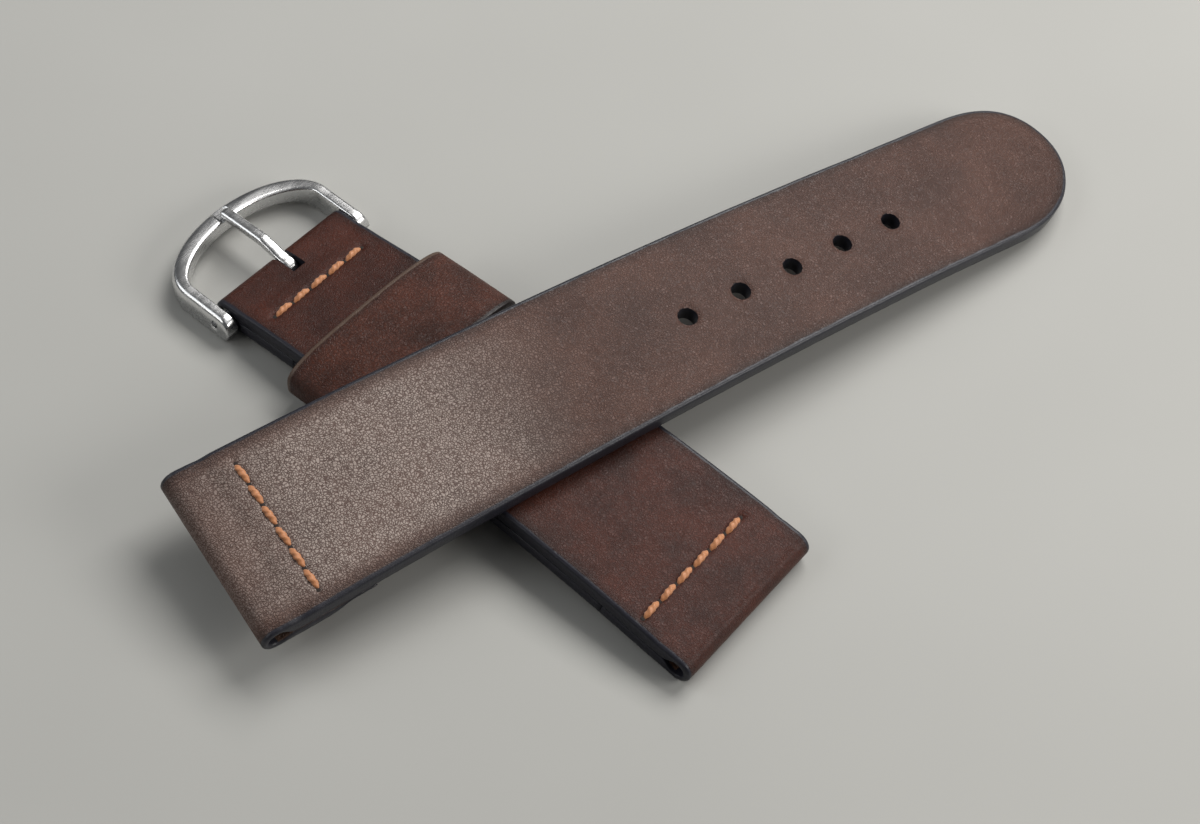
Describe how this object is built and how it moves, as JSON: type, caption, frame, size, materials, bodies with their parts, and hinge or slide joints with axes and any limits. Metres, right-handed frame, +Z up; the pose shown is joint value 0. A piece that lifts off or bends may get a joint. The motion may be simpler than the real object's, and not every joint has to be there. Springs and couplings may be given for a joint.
{
  "type": "watch_strap",
  "caption": "Dark brown leather watch strap in two halves, laid crosswise, with copper stitching, a wide keeper and a steel tang buckle",
  "frame": {"origin": "Centre of the spring bar channel in the lug end of the buckle strap", "axes": "X runs along the buckle strap towards the buckle, Y along the channel towards the near side, Z up from the table"},
  "size_m": [0.0817, 0.1219, 0.0101],
  "materials": {
    "leather_dark": "fine pebbled grain, reddish dark brown, softly glossy",
    "leather_tail": "fine pebbled grain, dark brown with a grey sheen",
    "leather_keeper": "coarser grain, dark brown, one raw edge",
    "leather_lining": "smooth brown lining",
    "thread_copper": "waxed copper thread",
    "steel_buckle": "polished steel with fine wear",
    "steel_bar": "bright turned steel"
  },
  "bodies": {
    "buckle_strap": {"buckle_strap_leather": "leather_dark", "buckle_strap_lining": "leather_lining", "buckle_strap_lug_thread": "thread_copper", "buckle_strap_end_thread": "thread_copper", "spring_bar_tube": "steel_bar", "spring_bar_spring": "steel_bar"},
    "tail_strap": {"tail_strap_leather": "leather_tail", "tail_strap_lug_thread": "thread_copper"},
    "keeper": {"keeper_band": "leather_keeper", "keeper_thread": "thread_copper"},
    "frame": {"buckle_frame": "steel_buckle"},
    "tang": {"buckle_tang": "steel_buckle"},
    "tip_near": {"spring_bar_tip_near": "steel_bar"},
    "tip_far": {"spring_bar_tip_far": "steel_bar"}
  },
  "joints": [
    {"name": "tail_lift", "type": "slide", "parent": "buckle_strap", "child": "tail_strap", "axis": [0, 0, 1], "range_m": [0, 0.03]},
    {"name": "keeper_slide", "type": "slide", "parent": "buckle_strap", "child": "keeper", "axis": [0.9987, 0, -0.0509], "range_m": [0, 0.005]},
    {"name": "frame_swing", "type": "hinge", "parent": "buckle_strap", "child": "frame", "pos_m": [0.06793, 0, 0.00022], "axis": [0, -1, 0], "range_deg": [-40, 35]},
    {"name": "tang_swing", "type": "hinge", "parent": "frame", "child": "tang", "pos_m": [0.06793, 0, 0.00022], "axis": [0, -1, 0], "range_deg": [0, 50]},
    {"name": "tip_near_slide", "type": "slide", "parent": "buckle_strap", "child": "tip_near", "axis": [0, -1, 0], "range_m": [0, 0.0013], "stiffness_N_per_m": 150, "springref_m": -0.004, "deforming": ["spring_bar_spring"]},
    {"name": "tip_far_slide", "type": "slide", "parent": "buckle_strap", "child": "tip_far", "axis": [0, 1, 0], "range_m": [0, 0.0013], "stiffness_N_per_m": 150, "springref_m": -0.004, "deforming": ["spring_bar_spring"]}
  ]
}
